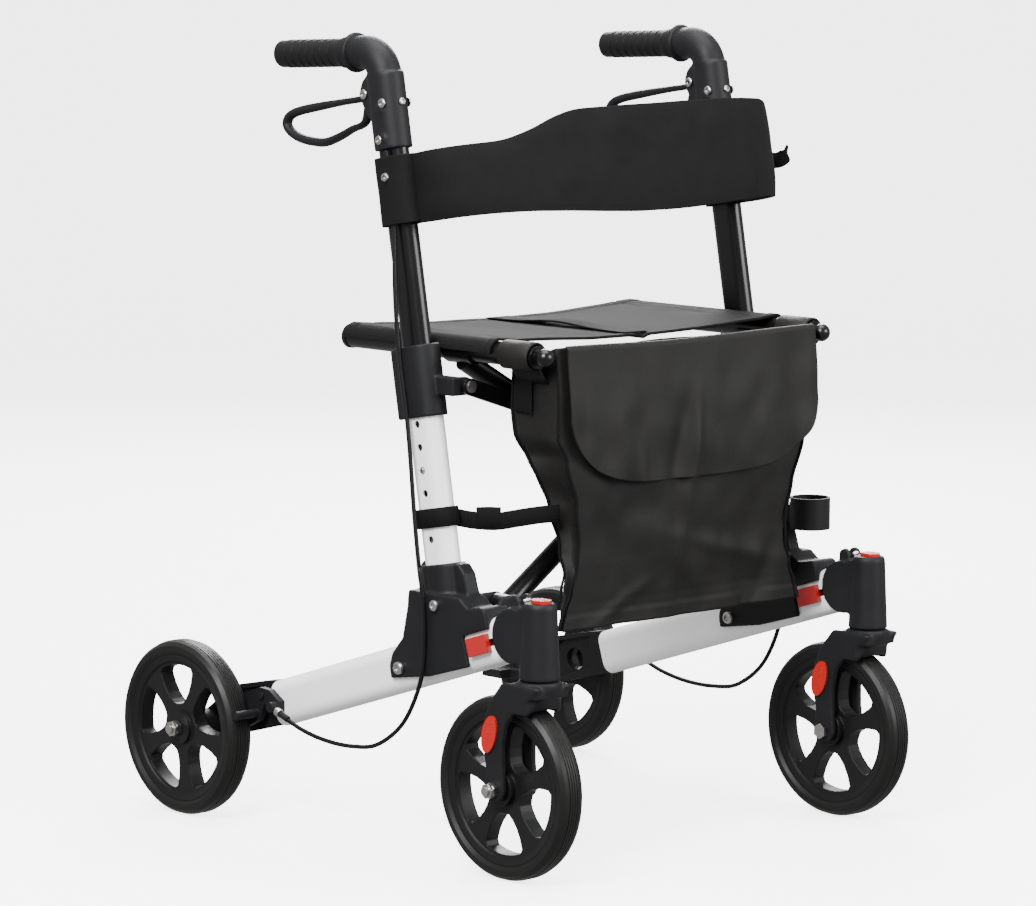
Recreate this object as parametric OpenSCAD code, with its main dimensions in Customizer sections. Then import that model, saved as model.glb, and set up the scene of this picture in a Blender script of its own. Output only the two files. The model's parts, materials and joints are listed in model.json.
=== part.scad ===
// Side-folding four-wheeled walker with seat, backrest and bag.
// X runs across the walker, -Y is the way it travels, +Z is up, and the floor is z = 0.
// Every module draws the left-hand piece (x below 0); both_sides() mirrors it for the right.

/* [Wheels] */
// Outer diameter of all four tyres
wheel_d = 200; // [180:1:204]
// Width of a tyre
tyre_w = 32; // [28:1:34]
// Half the distance between the front and the rear axles
half_base = 249; // [245:1:255]
// Rear wheel's middle to the centre plane
rear_x = 295; // [295:1:300]
// How far the front axle trails behind its swivel
trail = 44; // [40:1:48]

/* [Frame] */
// Side tube's middle to the centre plane
tube_x = 256; // [256:1:258]
// Height of a side tube's section
tube_h = 52; // [48:1:52]
// Width of a side tube's section
tube_w = 28; // [26:1:28]
// Slope of the side tubes, rising to the front
tube_slope = 18; // [17:0.5:19]
// Upright's middle to the centre plane
upright_x = 250; // [250:1:251]
// Backward lean of the uprights
upright_tilt = 10.5; // [10:0.5:11]
// Depth of an outer upright's section
upright_d = 44; // [42:1:44]
// Width of an outer upright's section
upright_w = 28; // [26:1:28]

/* [Handles] */
// Depth of a sliding handle tube's section
inner_d = 38; // [36:1:38]
// Width of a sliding handle tube's section
inner_w = 22; // [20:1:22]
// Distance between two height holes
hole_pitch = 25; // [24:1:26]
// Diameter of a hand grip
grip_d = 30; // [28:1:32]

/* [Seat and folding frame] */
// Height of the seat rails' middle
rail_z = 557; // [555:1:559]
// Seat rail's middle to the centre plane
rail_x = 214; // [213:1:214]
// Diameter of a seat rail
rail_d = 25; // [24:1:25]
// Diameter of a cross bar
bar_d = 23; // [21:1:23]
// Diameter of the pivot pins
pin_d = 8; // [6:1:8]

/* [Bag] */
// Half the width of the bag at its mouth
bag_half = 196; // [190:1:197]
// Height of the bag
bag_h = 303; // [280:1:305]

/* [Hidden] */
$fn = 48;

wall = 1.8;
fit = 0.05;
play = 0.4;
wheel_r = wheel_d / 2;
axle_z = wheel_r;
axle_r = 6;
rim_r = 84;
hub_r = 19;
spokes = 5;
spoke_w = 18;

// Tilt pin: the frame bracket turns on the side tube here
tilt_y = -94;
tilt_z = 210.7;
tube_front = -172;
tube_rear = 230;
latch_y = -130;
swivel_y = -half_base - trail;
housing_foot = 222;
housing_top = 304;
stem_r = 10;
brake_y = 136;
brake_z = 149;
plug_inner = tube_x + 7;
plug_outer = tube_x - 14;

// Upright: local z runs up along the tube from its foot, local y points backward
foot_y = -142;
foot_z = 290;
upright_len = 268;
holes = 6;
first_hole = 65;
button_s = first_hole + 3 * hole_pitch;
inner_foot = 118;
inner_top = 545;
collar_foot = 197;
collar_top = 275;
column_foot = 488;
column_w = 36;
column_d = 44;
elbow_s = 568;
elbow_r = 30;
elbow_turn = 82;
neck = 16;
grip_len = 118;
lever_y = 24;
lever_s = 552;

// Folding frame: all its axes run along y
cross_x = 216;
cross_z = 284;
bar_end_z = rail_z - 12;
bar_a_foot_y = -196;
bar_b_foot_y = -170;
bar_rise_y = 43;
lug_x = 235;
lug_z = 520.3;
link_left_y = -157;
link_right_y = -143;
link_reach = 120;
rail_front = -244;
rail_back = 54;
centre_z = cross_z + (bar_end_z - cross_z) * cross_x / (cross_x + rail_x);

bag_front_y = -253;
bag_back_y = -188;
bag_mouth_z = 564;
bag_back_z = 545;
flap_y = -258;

cup_x = 253;
cable_r = 2.5;
cable_route = [
  [-266, -57, 769.2], [-271, -60, 755], [-272, -64, 725], [-272, -70, 680], [-272, -77, 620],
  [-272, -86, 561], [-272, -99, 489], [-274, -108, 440], [-277, -118, 380], [-279, -128, 325],
  [-279, -135, 289], [-279, -137, 245], [-280, -132, 201], [-281, -106, 153], [-282, -65, 123],
  [-283, -24, 115], [-283, 20, 115], [-283, 64, 122], [-283, 104, 136]
];

module both_sides(right) {
  if (right) mirror([1, 0, 0]) children();
  else children();
}

module on_upright() {
  translate([-upright_x, foot_y, foot_z]) rotate([-upright_tilt, 0, 0]) children();
}

module on_tube() {
  translate([-tube_x, tilt_y, tilt_z]) rotate([-tube_slope, 0, 0]) children();
}

// Flat-sided oval, long along y
module oval(d, w) {
  square([w, d - w], center = true);
  for (end = [-1, 1]) translate([0, end * (d - w) / 2]) circle(d = w);
}

module oval_bar(d, w, from, to) {
  translate([0, 0, from]) linear_extrude(to - from) oval(d, w);
}

module along_x(r, from, to) {
  translate([from, 0, 0]) rotate([0, 90, 0]) cylinder(r = r, h = to - from);
}

module along_y(r, from, to) {
  translate([0, from, 0]) rotate([-90, 0, 0]) cylinder(r = r, h = to - from);
}

// Extrudes an outline drawn in the y-z plane across x
module side_plate(from, to) {
  translate([from, 0, 0]) rotate([90, 0, 90]) linear_extrude(to - from) children();
}

// Round bar between two points
module rod(a, b, r) {
  d = b - a;
  turn = atan2(d.y, d.x);
  lean = acos(d.z / norm(d));
  translate(a) rotate([0, lean, turn]) cylinder(r = r, h = norm(d));
}

// ---- side frames ----

module side_tube() {
  color("white") on_tube() difference() {
    rotate([90, 0, 0]) oval_bar(tube_h, tube_w, -tube_rear, -tube_front);
    rotate([90, 0, 0]) oval_bar(tube_h - 2 * wall, tube_w - 2 * wall, -tube_rear - 1, -tube_front + 1);
    along_x(pin_d / 2 + fit, -40, 40);
    latch_slot();
  }
}

module latch_slot() {
  for (y = [latch_y - 18, latch_y - 2]) translate([0, y, 0]) along_x(4, -40, 40);
  translate([-40, latch_y - 18, -4]) cube([80, 16, 8]);
}

module caster_housing() {
  color("dimgray") difference() {
    union() {
      translate([-tube_x, swivel_y, housing_foot]) cylinder(r1 = 22, r2 = 18.5, h = 78);
      translate([-tube_x, swivel_y, housing_foot + 78]) cylinder(r1 = 18.5, r2 = 16.5, h = 4);
      on_tube() side_plate(-18, 18) housing_cheek();
      on_tube() for (x = [-11, 5]) side_plate(x, x + 6) housing_ear();
    }
    on_tube() rotate([90, 0, 0]) oval_bar(tube_h + 0.1, tube_w + 0.1, 136, -tube_front + 1);
    translate([-tube_x, swivel_y, housing_foot - 1]) cylinder(r = stem_r + fit, h = 70);
    translate([-tube_x - 30, swivel_y + 8, housing_foot + 52]) cube([12, 4, 14]);
  }
}

module housing_cheek() {
  translate([-182, 0]) circle(r = 30);
  translate([-212, -16]) square([30, 42]);
}

module housing_ear() {
  translate([-190, 34]) circle(r = 8);
  translate([-198, 14]) square([16, 20]);
}

module head_reflector() {
  color("orangered") translate([-tube_x, swivel_y - 2, housing_top + 0.05])
    linear_extrude(3.5) oval(24, 18);
}

module rear_bracket() {
  color("dimgray") difference() {
    union() {
      on_tube() rotate([-90, 0, 0]) translate([0, 0, tube_rear - 40]) linear_extrude(46)
        oval(tube_h - 2 * wall - 0.1, tube_w - 2 * wall - 0.1);
      difference() {
        union() {
          side_plate(-plug_inner, -plug_inner + 16) rear_outline();
          translate([0, brake_y, brake_z]) along_x(6.5, -tube_x - 13, -tube_x);
        }
        on_tube() translate([-40, 100, -60]) cube([80, tube_rear + 0.2 - 100, 120]);
        side_plate(-plug_inner - 1, -tube_x - 4) rear_pocket();
        side_plate(-tube_x + 4, -plug_inner + 20) rear_pocket();
      }
      translate([0, half_base, axle_z]) along_x(17, -tube_x - 20, -tube_x + 11);
      translate([0, brake_y, brake_z]) along_x(4, -tube_x - 25, -tube_x);
      translate([-plug_inner + 4, half_base, axle_z - 14]) cube([12, 60, 12]);
      translate([-plug_inner + 3, half_base + 40, axle_z - 12]) cube([30, 32, 10]);
    }
    translate([0, 180, 124]) along_x(14, -tube_x - 30, -tube_x + 30);
    translate([0, half_base, axle_z]) along_x(axle_r + fit, -tube_x - 40, -tube_x + 40);
    for (k = [0:4])
      translate([-plug_inner, half_base + 44 + 6 * k, axle_z - 3]) cube([40, 2, 4]);
  }
}

// Both faces of the plate are sunk inside a raised border
module rear_pocket() {
  polygon([[148, 119], [234, 90], [252, 90], [257, 98], [255, 107], [245, 113], [201, 145], [150, 157]]);
}

module rear_outline() {
  polygon([[112, 118], [130, 113], [236, 84], [258, 84], [264, 96], [262, 112], [250, 118],
    [205, 150], [150, 162], [126, 166]]);
}

module rear_axle() {
  color("silver") translate([0, half_base, axle_z]) {
    along_x(axle_r, -rear_x - 14, -tube_x + 16);
    rotate([0, 90, 0]) translate([0, 0, -rear_x - 20]) cylinder(r = 9, h = 6, $fn = 6);
    rotate([0, 90, 0]) translate([0, 0, -tube_x + 11.2]) cylinder(r = 9, h = 6, $fn = 6);
  }
}

// ---- wheels ----

module rim_window() {
  inner = 27;
  outer = 72;
  half = 180 / spokes;
  polygon(concat(
    [for (a = [-half + 15 : 3 : half - 15]) outer * [cos(a), sin(a)]],
    [for (b = [[68, 11.5], [56, 10], [44, 10.5], [35, 14], [29, 20], [inner, 28]])
      b.x * [cos(half - b.y), sin(half - b.y)]],
    [for (b = [[inner, 28], [29, 20], [35, 14], [44, 10.5], [56, 10], [68, 11.5]])
      b.x * [cos(half - b.y), -sin(half - b.y)]]));
}

// Rim about the x axis
module rim(hub_from, hub_to) {
  color("black") rotate([0, 90, 0]) difference() {
    union() {
      rotate_extrude() translate([0, 0]) polygon([[76, -11], [rim_r, -13], [rim_r, 13], [76, 11],
        [73, 5], [73, -5]]);
      linear_extrude(spoke_w, center = true) difference() {
        circle(r = 75);
        for (k = [0 : spokes - 1]) rotate(k * 360 / spokes) rim_window();
      }
      translate([0, 0, hub_from]) cylinder(r = hub_r, h = hub_to - hub_from);
    }
    translate([0, 0, -40]) cylinder(r = axle_r + fit, h = 80);
  }
}

// Tyre about the x axis, with fine grooves round its tread
module tyre() {
  half = tyre_w / 2;
  grooves = 5;
  color("black") rotate([0, 90, 0]) difference() {
    rotate_extrude($fn = 96) polygon([[rim_r + 0.05, -13], [rim_r + 4, -half], [wheel_r - 6, -half],
      [wheel_r - 2, -half + 4], [wheel_r, -6], [wheel_r, 6], [wheel_r - 2, half - 4],
      [wheel_r - 6, half], [rim_r + 4, half], [rim_r + 0.05, 13]]);
    for (k = [0 : grooves - 1]) translate([0, 0, (k - (grooves - 1) / 2) * 3.4])
      rotate_extrude($fn = 96) translate([wheel_r - 1.2, -0.5]) square([3, 1]);
  }
}

module rear_rim() {
  translate([-rear_x, half_base, axle_z]) rotate([29, 0, 0]) rim(-13, 17);
}

module rear_tyre() {
  translate([-rear_x, half_base, axle_z]) tyre();
}

module front_rim() {
  translate([-tube_x, -half_base, axle_z]) rim(-17, 17);
}

module front_tyre() {
  translate([-tube_x, -half_base, axle_z]) tyre();
}

module fork_arm() {
  translate([-half_base, axle_z]) polygon([[-17, -1], [-13, -9], [-5, -13], [4, -12], [11, -7], [13, 0],
    [12, 25], [17, 50], [16, 72], [6, 96], [-13, 118], [-66, 118], [-66, 113], [-54, 104],
    [-33, 89], [-18, 72], [-13, 50], [-14, 25]]);
}

module fork() {
  color("dimgray") difference() {
    union() {
      difference() {
        hull() {
          translate([-tube_x, swivel_y, housing_foot - 9.5]) cylinder(r = 23, h = 8);
          translate([-tube_x - 26, -half_base - 50, axle_z + 86]) cube([52, 46, 10]);
        }
        translate([0, -half_base, axle_z]) along_x(wheel_r + 3, -tube_x - 19, -tube_x + 19);
      }
      translate([-tube_x, swivel_y, housing_foot - 2]) cylinder(r = 20, h = 1.5);
      translate([-tube_x, swivel_y, housing_foot - 14]) cylinder(r = stem_r, h = 76);
      for (side = [-1, 1]) side_plate(-tube_x + side * 22.5 - 3.5, -tube_x + side * 22.5 + 3.5)
        fork_arm();
      translate([-tube_x - 24, swivel_y - 20, axle_z + 104]) cube([48, 52, 12]);
    }
    translate([0, -half_base, axle_z]) along_x(axle_r + fit, -tube_x - 40, -tube_x + 40);
  }
}

module fork_reflector() {
  color("red") for (x = [-tube_x - 28.6, -tube_x + 26.1]) translate([x, -half_base + 4, axle_z + 60])
    rotate([0, 90, 0]) rotate(-75) linear_extrude(2.5) scale([0.5, 1]) circle(d = 42);
}

module front_axle() {
  color("silver") translate([0, -half_base, axle_z]) {
    along_x(axle_r, -tube_x - 27, -tube_x + 27);
    for (x = [-tube_x - 31.2, -tube_x + 26.2]) translate([x, 0, 0]) rotate([0, 90, 0])
      cylinder(r = 9, h = 5, $fn = 6);
  }
}

// ---- upper frame ----

module bracket_outline() {
  polygon([[-78, 197], [-75, 211], [-80, 226], [-96, 244], [-104, 280], [-108, 325],
    [-112, 329], [-168, 331], [-177, 322], [-184, 300], [-200, 288], [-220, 292], [-226, 289],
    [-239, 249], [-205, 226], [-140, 207]]);
}

module clevis(y) {
  for (gap = [-18.2, 13.3]) translate([-cross_x, y + gap, cross_z]) {
    along_y(15, 0, 4.9);
    translate([-24, 0, -15]) cube([24, 4.9, 30]);
  }
}

module frame_bracket(foot) {
  color("dimgray") difference() {
    union() {
      intersection() {
        side_plate(-tube_x - 19, -tube_x + 19) bracket_outline();
        translate([-tube_x - 19, -300, 190]) cube([38, 230, 108]);
      }
      on_upright() oval_bar(upright_d + 10, upright_w + 10, -22, 38);
      intersection() {
        side_plate(-upright_x - 9, -upright_x + 9) bracket_outline();
        translate([-upright_x - 9, -300, 290]) cube([18, 230, 60]);
      }
      clevis(foot);
    }
    on_upright() oval_bar(upright_d + 0.1, upright_w + 0.1, -10, 60);
    on_tube() rotate([90, 0, 0]) translate([0, 0, 24]) linear_extrude(160)
      oval(tube_h + 2 * play, tube_w + 2 * play);
    on_tube() translate([-(tube_w / 2 + play), -170, -60]) cube([tube_w + 2 * play, 240, 60]);
    on_tube() translate([-(tube_w / 2 + play), -26, -30]) cube([tube_w + 2 * play, 70, 80]);
    on_tube() translate([-40, -170, -40]) cube([80, 62, 54]);
    on_tube() along_x(pin_d / 2, -40, 40);
    translate([-cross_x, -260, cross_z]) along_y(pin_d / 2, 0, 160);
  }
}

module outer_upright() {
  color("white") on_upright() difference() {
    oval_bar(upright_d, upright_w, -9, upright_len);
    oval_bar(upright_d - 2 * wall, upright_w - 2 * wall, -10, upright_len + 1);
    for (k = [0 : holes - 1]) translate([0, 0, first_hole + k * hole_pitch]) along_x(4, -30, 0);
  }
}

module collar(link_y) {
  color("dimgray") difference() {
    union() {
      on_upright() oval_bar(54, 36, collar_foot, collar_top);
      on_upright() translate([-15, 20, collar_foot]) cube([5, 9, collar_top - collar_foot - 2]);
      translate([-lug_x, link_y + 3.3, lug_z]) along_y(10, 0, 6);
      translate([-upright_x - 4, link_y + 3.3, lug_z - 10]) cube([upright_x + 4 - lug_x, 6, 20]);
      translate([-upright_x - 4, link_y + 3.3, lug_z - 10]) cube([14, -118 - link_y, 20]);
    }
    on_upright() oval_bar(upright_d + 0.1, upright_w + 0.1, collar_foot - 1, upright_len);
    on_upright() oval_bar(inner_d + 0.6, inner_w + 0.6, upright_len - 1, collar_top + 1);
    translate([-lug_x, -200, lug_z]) along_y(pin_d / 2, 0, 100);
  }
}

module frame_pins(foot, link_y) {
  color("silver") {
    on_tube() along_x(pin_d / 2, -21, 21);
    on_tube() for (x = [-22.5, 19.2]) along_x(7, x, x + 3.3);
    translate([-cross_x, foot, cross_z]) along_y(pin_d / 2, -18.4, 18.4);
    translate([-lug_x, link_y, lug_z]) along_y(pin_d / 2, -4, 9);
    translate([-lug_x, link_y, lug_z]) along_y(6.5, -6.5, -3.4);
    translate([0, -150, 286]) along_x(6, -tube_x - 21.9, -tube_x - 19.1);
  }
}

module cane_cup() {
  color("dimgray") translate([cup_x, -204, 0]) difference() {
    union() {
      translate([0, 0, 326]) cylinder(r = 23, h = 36);
      translate([-11, 18, 332]) cube([16, 40, 20]);
    }
    translate([0, 0, 330]) cylinder(r = 20.5, h = 40);
    translate([-cup_x, 204, 0]) mirror([1, 0, 0])
      on_upright() oval_bar(upright_d + 0.1, upright_w + 0.1, 0, 100);
  }
}

// ---- handles ----

module handle_tube() {
  color("black") on_upright() difference() {
    oval_bar(inner_d, inner_w, inner_foot, inner_top);
    oval_bar(inner_d - 3, inner_w - 3, inner_foot - 1, inner_top + 1);
    translate([0, 0, button_s]) along_x(3.5, -30, 0);
  }
}

module height_button() {
  color("silver") on_upright() translate([0, 0, button_s]) {
    along_x(3.4, -11.9, -3);
    along_x(6, -9, -7);
  }
}

// Local frame at the end of the elbow, with z running out along the grip
module at_grip() {
  translate([0, elbow_r - elbow_r * cos(elbow_turn), elbow_s + elbow_r * sin(elbow_turn)])
    rotate([-elbow_turn, 0, 0]) translate([0, 0, neck]) children();
}

module handle_housing() {
  color("dimgray") on_upright() difference() {
    union() {
      oval_bar(column_d, column_w, column_foot, elbow_s + 3);
      elbow();
      at_grip() translate([0, 0, -2]) cylinder(r = 14, h = 10);
      at_grip() translate([0, 0, -neck - 3]) cylinder(r = 18.2, h = neck + 3.5);
      at_grip() translate([0, 0, -1]) cylinder(r = 19.5, h = 4);
      for (x = [-11.5, 6.2]) side_plate(x, x + 5.3) lever_ear();
      for (s = [500, 532]) translate([0, -4, s]) along_x(5, -column_w / 2 - 1.5, column_w / 2 + 1.5);
    }
    oval_bar(inner_d + 0.1, inner_w + 0.1, column_foot - 1, inner_top);
    translate([-6.5, 11, lever_s - 24]) cube([13, 40, 34]);
    translate([0, lever_y, lever_s]) along_x(pin_d / 2, -30, 30);
  }
  color("silver") on_upright() translate([0, lever_y, lever_s]) along_x(pin_d / 2 - 0.05, -13.5, 13.5);
}

module elbow() {
  translate([0, elbow_r, elbow_s]) rotate([90, 0, 90]) rotate([0, 0, 180 - elbow_turn])
    rotate_extrude(angle = elbow_turn) translate([elbow_r, 0]) circle(r = 18.5);
}

module lever_ear() {
  translate([lever_y, lever_s]) circle(r = 9);
  polygon([[10, 516], [24, 526], [32.5, 546], [32.5, 557], [27, 566], [20, 571], [10, 574]]);
}

module hand_grip() {
  color("black") on_upright() at_grip() difference() {
    union() {
      translate([0, 0, 3.05]) cylinder(r = 18, h = 5);
      translate([0, 0, 8]) cylinder(r = grip_d / 2, h = grip_len - 4);
      translate([0, 0, grip_len + 4]) cylinder(r1 = grip_d / 2, r2 = grip_d / 2 - 4, h = 4);
      for (k = [0 : 7]) translate([0, 0, 20 + 12 * k]) cylinder(r = grip_d / 2 + 0.6, h = 6);
    }
    translate([0, 0, -1]) cylinder(r = 14.05, h = 9.1);
  }
}

module lever_loop(r) {
  hull() for (at = [[38, 545], [160, 546], [171, 539], [150, 521], [108, 511], [38, 522]])
    translate(at) circle(r = r);
}

module brake_lever() {
  color("dimgray") on_upright() difference() {
    union() {
      translate([0, lever_y, lever_s]) along_x(8, -6, 6);
      side_plate(-6, 6) polygon([[20, 559], [30, 560], [46, 551], [43, 534], [39, 517], [32, 517],
        [21, 547]]);
      side_plate(-6, 6) difference() {
        lever_loop(6);
        lever_loop(0.5);
      }
    }
    translate([0, lever_y, lever_s]) along_x(pin_d / 2 + fit, -30, 30);
  }
}

// ---- brakes ----

module brake_arm() {
  color("dimgray") difference() {
    union() {
      side_plate(-tube_x - 22.4, -tube_x - 14.4) polygon([[106, 134], [106, 146], [124, 157],
        [140, 158], [190, 138], [197, 126], [190, 113], [162, 110], [142, 120], [132, 140]]);
      translate([0, 146, 128]) along_x(5, -rear_x - 14, -tube_x - 15);
      translate([0, 112, 140]) along_x(6, -tube_x - 32, -tube_x - 15);
    }
    translate([0, brake_y, brake_z]) along_x(pin_d / 2 + fit, -tube_x - 40, -tube_x);
  }
}

module latch_button() {
  color("red") on_tube() {
    for (x = [-21, 14.5]) translate([x, latch_y - 15, -10]) cube([6.5, 31, 20]);
    translate([0, latch_y - 8, 0]) along_x(3.5, -16, 16);
  }
}

// Catmull-Rom point between p1 and p2
function spline(p0, p1, p2, p3, t) = 0.5 * (2 * p1 + (p2 - p0) * t
  + (2 * p0 - 5 * p1 + 4 * p2 - p3) * t * t + (3 * p1 - p0 - 3 * p2 + p3) * t * t * t);

function smooth(route, steps) = let (n = len(route)) concat(
  [for (i = [0 : n - 2]) for (k = [0 : steps - 1])
    spline(route[max(i - 1, 0)], route[i], route[i + 1], route[min(i + 2, n - 1)], k / steps)],
  [route[n - 1]]);

function unit(v) = v / norm(v);

// Ring of points round a route that never runs along x
function ring(p, along, r, sides) = let (
    across = unit([1, 0, 0] - along * along.x),
    third = cross(along, across))
  [for (k = [0 : sides - 1]) p + r * (across * cos(360 * k / sides) + third * sin(360 * k / sides))];

module sweep(path, r, sides) {
  n = len(path);
  points = [for (i = [0 : n - 1])
    each ring(path[i], unit(path[min(i + 1, n - 1)] - path[max(i - 1, 0)]), r, sides)];
  walls = [for (i = [0 : n - 2]) for (k = [0 : sides - 1])
    [i * sides + k, i * sides + (k + 1) % sides, (i + 1) * sides + (k + 1) % sides,
     (i + 1) * sides + k]];
  ends = [[for (k = [0 : sides - 1]) sides - 1 - k], [for (k = [0 : sides - 1]) (n - 1) * sides + k]];
  polyhedron(points, concat(walls, ends), convexity = 10);
}

module brake_cable() {
  color("black") sweep(smooth(cable_route, 4), cable_r, 8);
}

// ---- folding frame ----

// Bar from a lower bracket to the opposite seat rail, with its eyes
module cross_bar(foot_y_at, link_up) {
  foot = [-cross_x, foot_y_at, cross_z];
  top = [rail_x, foot_y_at + bar_rise_y, bar_end_z];
  mid = foot + (top - foot) * cross_x / (cross_x + rail_x);
  knee = mid + (top - mid) * link_reach / norm(top - mid);
  color("black") difference() {
    union() {
      rod(foot, top, bar_d / 2);
      translate([-cross_x, foot_y_at, cross_z]) along_y(13.5, -12.3, 12.3);
      intersection() {
        translate([rail_x, top.y, rail_z]) along_y(rail_d / 2 + 3, -20, 20);
        translate([rail_x - 20, top.y - 20, rail_z - 20]) cube([40, 40, 16]);
      }
    }
    translate(foot) along_y(pin_d / 2 + fit, -30, 30);
    translate([rail_x, top.y, rail_z]) along_y(rail_d / 2, -30, 30);
    if (link_up < 0) translate(mid) along_y(pin_d / 2 + fit, -30, 30);
  }
  if (link_up > 0) color("silver") translate(mid) along_y(pin_d / 2, -12, 39);
}

module cross_bar_a() {
  cross_bar(bar_a_foot_y, 1);
}

module cross_bar_b() {
  mirror([1, 0, 0]) cross_bar(bar_b_foot_y, -1);
}

module seat_rail() {
  color("black") translate([-rail_x, 0, rail_z]) {
    difference() {
      along_y(rail_d / 2, rail_front, rail_back);
      along_y(rail_d / 2 - 1.6, rail_front + 4, rail_back - 4);
    }
    along_y(rail_d / 2 + 1, rail_back + 0.05, rail_back + 5);
    along_y(8, rail_front - 4, rail_front - 0.05);
    translate([0, rail_front - 10, 0]) sphere(r = 10);
  }
}

module brace_link(y) {
  mid = [0, 0, centre_z];
  out = [-rail_x, 0, bar_end_z] - mid;
  far = mid + out * link_reach / norm(out);
  near = [-lug_x, 0, lug_z];
  color("black") translate([0, y + 3, 0]) rotate([90, 0, 0]) linear_extrude(6) difference() {
    hull() for (end = [near, far]) translate([end.x, end.z]) circle(r = 9, $fn = 32);
    translate([near.x, near.z]) circle(r = pin_d / 2 + fit);
    translate([far.x, far.z]) circle(r = pin_d / 2);
  }
}

// ---- soft goods ----

module seat_fabric() {
  sag = 9;
  top = rail_z + rail_d / 2 + 3.4;
  color("black") translate([0, 52, 0]) rotate([90, 0, 0]) linear_extrude(236) difference() {
    union() {
      for (side = [-1, 1]) translate([side * rail_x, rail_z]) circle(r = rail_d / 2 + 3.4);
      polygon([[-rail_x, top - 0.4], [0, top - sag], [rail_x, top - 0.4], [rail_x, top - 3],
        [0, top - sag - 3], [-rail_x, top - 3]]);
    }
    for (side = [-1, 1]) translate([side * rail_x, rail_z]) circle(r = rail_d / 2 + 0.4);
    for (side = [-1, 1]) translate([side * rail_x - 20, rail_z - 30]) square([40, 28]);
  }
}

// Outline of the bag from the side; its back edge is lower than the front one
module bag_side(inset, open) {
  polygon([[bag_front_y + inset, bag_mouth_z + open], [bag_front_y - 4 + inset, bag_mouth_z - 150],
    [bag_front_y + 8 + inset, bag_mouth_z - bag_h + inset],
    [bag_back_y - 34 - inset, bag_mouth_z - bag_h + inset],
    [bag_back_y - 12 - inset, bag_mouth_z - 150], [bag_back_y - inset, bag_back_z + open]]);
}

// Half outline of the bag from the front: full at the mouth, drawn in below
module bag_face(inset, open) {
  side = [[bag_half, bag_mouth_z + open], [bag_half + 1, 480], [bag_half - 15, 440],
    [bag_half - 29, 390], [bag_half - 35, 350], [bag_half - 29, 310], [bag_half - 12, 262 + inset]];
  rotate([90, 0, 0]) linear_extrude(400, center = true) polygon(concat(
    [for (p = side) [p.x - inset, p.y]], [for (k = [6 : -1 : 0]) [-side[k].x + inset, side[k].y]]));
}

module bag_body() {
  skin = 3;
  color("black") difference() {
    union() {
      intersection() {
        side_plate(-bag_half - 2, bag_half + 2) bag_side(0, 0);
        bag_face(0, 0);
      }
      for (side = [-1, 1]) translate([side * rail_x, 0, rail_z]) along_y(16, -238, -204);
      for (side = [-1, 1]) translate([side * 200 - 8, -238, rail_z - 24]) cube([16, 34, 14]);
    }
    intersection() {
      side_plate(-bag_half, bag_half) bag_side(skin, 30);
      bag_face(skin, 31);
    }
    for (side = [-1, 1]) translate([side * rail_x, 0, rail_z]) along_y(rail_d / 2 + 0.4, -260, -180);
  }
}

module bag_flap() {
  half = bag_half - 8;
  edge = [for (k = [0 : 24]) let (x = -half + k * half / 12)
    [x, 506 - 92 * pow(max(1 - pow(abs(x) / (half + 2), 4), 0), 0.4545)]];
  color("black") translate([0, flap_y, 0]) rotate([90, 0, 0]) linear_extrude(3)
    polygon(concat(edge, [[half, bag_mouth_z + 3], [-half, bag_mouth_z + 3]]));
}

// The band bows forward between its two sleeves, nearly square at its corners
function band_at(t, half, bow) = [half * sign(cos(t)) * pow(abs(cos(t)), 0.625),
  -20 - bow * pow(sin(t), 0.625)];

module band_plan() {
  steps = 28;
  polygon(concat([for (k = [0 : steps]) band_at(180 * k / steps, 252, 125)],
    [for (k = [steps : -1 : 0]) band_at(180 * k / steps, 248, 121)]));
}

module backrest_band() {
  band_s = 408;
  color("black") on_band() difference() {
    union() {
      translate([0, 0, band_s]) linear_extrude(76) band_plan();
      translate([0, 0, band_s + 70]) linear_extrude(36) intersection() {
        band_plan();
        translate([-150, -200]) square([300, 200]);
      }
      for (side = [-1, 1]) translate([side * upright_x, 0, band_s]) linear_extrude(76)
        oval(inner_d + 22, inner_w + 6);
    }
    for (side = [-1, 1]) translate([side * upright_x, 0, band_s - 1]) linear_extrude(120)
      oval(inner_d + 0.2, inner_w + 0.2);
  }
}

module on_band() {
  translate([0, foot_y, foot_z]) rotate([-upright_tilt, 0, 0]) children();
}

module bag_tie_strap() {
  color("black") difference() {
    union() {
      on_upright() oval_bar(upright_d + 6, upright_w + 6, 76, 98);
      translate([0, 0, 366]) linear_extrude(20)
        polygon([[-246, -146], [-240, -143], [-196.6, -211], [-171, -226], [-173, -229], [-199.6, -214]]);
    }
    on_upright() oval_bar(upright_d + 0.2, upright_w + 0.2, 70, 110);
  }
}

both_sides(false) side_tube();  // side_tube_left
both_sides(true) side_tube();  // side_tube_right
both_sides(false) caster_housing();  // caster_housing_left
both_sides(true) caster_housing();  // caster_housing_right
both_sides(false) rear_bracket();  // rear_bracket_left
both_sides(true) rear_bracket();  // rear_bracket_right
both_sides(false) rear_axle();  // rear_axle_left
both_sides(true) rear_axle();  // rear_axle_right
both_sides(false) rear_rim();  // rear_rim_left
both_sides(true) rear_rim();  // rear_rim_right
both_sides(false) rear_tyre();  // rear_tyre_left
both_sides(true) rear_tyre();  // rear_tyre_right
both_sides(false) fork();  // fork_left
both_sides(true) fork();  // fork_right
both_sides(false) fork_reflector();  // fork_reflector_left
both_sides(true) fork_reflector();  // fork_reflector_right
both_sides(false) front_axle();  // front_axle_left
both_sides(true) front_axle();  // front_axle_right
both_sides(false) front_rim();  // front_rim_left
both_sides(true) front_rim();  // front_rim_right
both_sides(false) front_tyre();  // front_tyre_left
both_sides(true) front_tyre();  // front_tyre_right
both_sides(false) head_reflector();  // head_reflector_left
both_sides(true) head_reflector();  // head_reflector_right
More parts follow.
